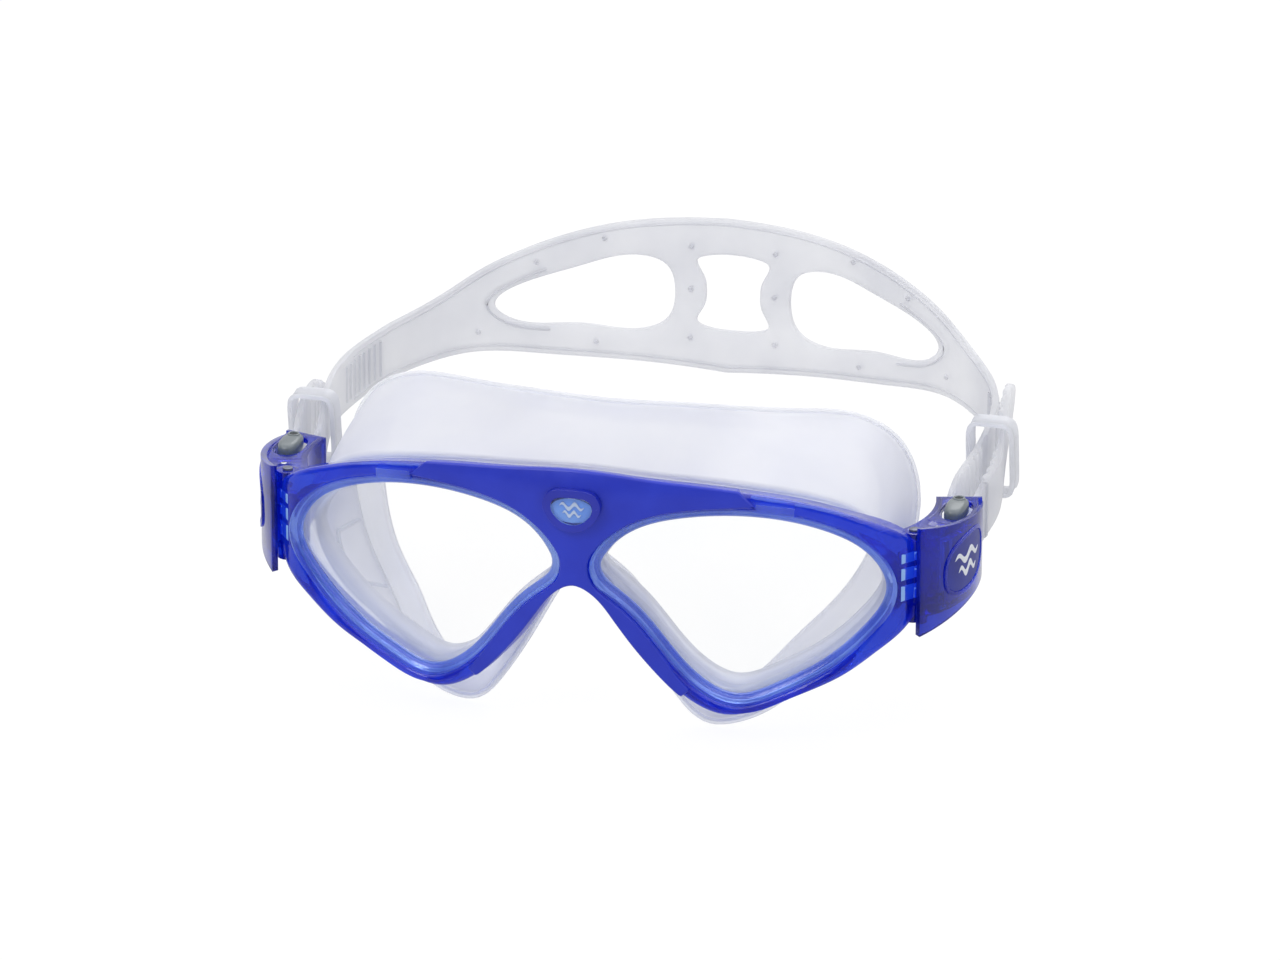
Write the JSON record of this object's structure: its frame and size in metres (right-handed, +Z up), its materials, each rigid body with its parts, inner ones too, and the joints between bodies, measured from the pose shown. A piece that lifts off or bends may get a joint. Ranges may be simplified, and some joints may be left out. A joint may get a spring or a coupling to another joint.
{
  "type": "diving mask",
  "caption": "Low-profile two-window swim and diving mask with a silicone skirt, hinged temple buckles with release levers, and a wide split head strap.",
  "frame": {"origin": "centre of the badge window's flat front face, on the plane of symmetry", "axes": "+X to the wearer's left, +Y from the front of the mask to the back of the head, +Z up as worn"},
  "size_m": [0.1795, 0.1518, 0.0798],
  "materials": {
    "frame_plastic": "clear-tinted gloss moulding",
    "cover_plastic": "satin soft-feel overmould",
    "badge_plastic": "gloss",
    "window_plastic": "clear-tinted gloss",
    "emblem_metal": "satin silver foil",
    "ring_plastic": "clear-tinted gloss moulding",
    "lens_clear": "polished",
    "skirt_silicone": "clear satin silicone",
    "strap_silicone": "clear satin silicone",
    "steel": "drawn wire",
    "buckle_plastic": "clear-tinted gloss moulding",
    "lever_plastic": "satin grey",
    "keeper_plastic": "clear"
  },
  "bodies": {
    "root": {"frame": "frame_plastic", "bridge_cover": "cover_plastic", "badge_rim": "badge_plastic", "badge_window": "window_plastic", "badge_emblem": "emblem_metal", "skirt": "skirt_silicone", "head_strap": "strap_silicone", "lens_left": "lens_clear", "lens_right": "lens_clear", "retaining_ring_left": "ring_plastic", "retaining_ring_right": "ring_plastic", "strap_tail_left": "strap_silicone", "strap_tail_right": "strap_silicone", "hinge_pin_left": "steel", "hinge_pin_right": "steel"},
    "buckle_left": {"buckle_left": "buckle_plastic", "strap_loop_left": "strap_silicone", "lever_pin_left": "steel", "lever_spring_left": "steel"},
    "roller_left": {"strap_roller_left": "steel"},
    "lever_left": {"release_lever_left": "lever_plastic"},
    "keeper_left": {"strap_keeper_left": "keeper_plastic"},
    "buckle_right": {"buckle_right": "buckle_plastic", "strap_loop_right": "strap_silicone", "lever_pin_right": "steel", "lever_spring_right": "steel"},
    "roller_right": {"strap_roller_right": "steel"},
    "lever_right": {"release_lever_right": "lever_plastic"},
    "keeper_right": {"strap_keeper_right": "keeper_plastic"}
  },
  "joints": [
    {"name": "buckle_hinge_left", "type": "hinge", "parent": "root", "child": "buckle_left", "pos_m": [0.0773, 0.0245, -0.017], "axis": [0, 0, -1], "range_deg": [-5, 18]},
    {"name": "lever_hinge_left", "type": "hinge", "parent": "buckle_left", "child": "lever_left", "pos_m": [0.0829, 0.04507, -0.015], "axis": [0, 0, -1], "range_deg": [0, 12]},
    {"name": "roller_spin_left", "type": "hinge", "parent": "buckle_left", "child": "roller_left", "pos_m": [0.08107, 0.03347, -0.017], "axis": [0, 0, 1], "continuous": true},
    {"name": "keeper_slide_left", "type": "slide", "parent": "root", "child": "keeper_left", "axis": [0, 1, 0], "range_m": [-0.002, 0.001]},
    {"name": "buckle_hinge_right", "type": "hinge", "parent": "root", "child": "buckle_right", "pos_m": [-0.0773, 0.0245, -0.017], "axis": [0, 0, 1], "range_deg": [-5, 18]},
    {"name": "lever_hinge_right", "type": "hinge", "parent": "buckle_right", "child": "lever_right", "pos_m": [-0.0829, 0.04507, -0.015], "axis": [0, 0, 1], "range_deg": [0, 12]},
    {"name": "roller_spin_right", "type": "hinge", "parent": "buckle_right", "child": "roller_right", "pos_m": [-0.08107, 0.03347, -0.017], "axis": [0, 0, 1], "continuous": true},
    {"name": "keeper_slide_right", "type": "slide", "parent": "root", "child": "keeper_right", "axis": [0, 1, 0], "range_m": [-0.0012, 0.0012]}
  ]
}
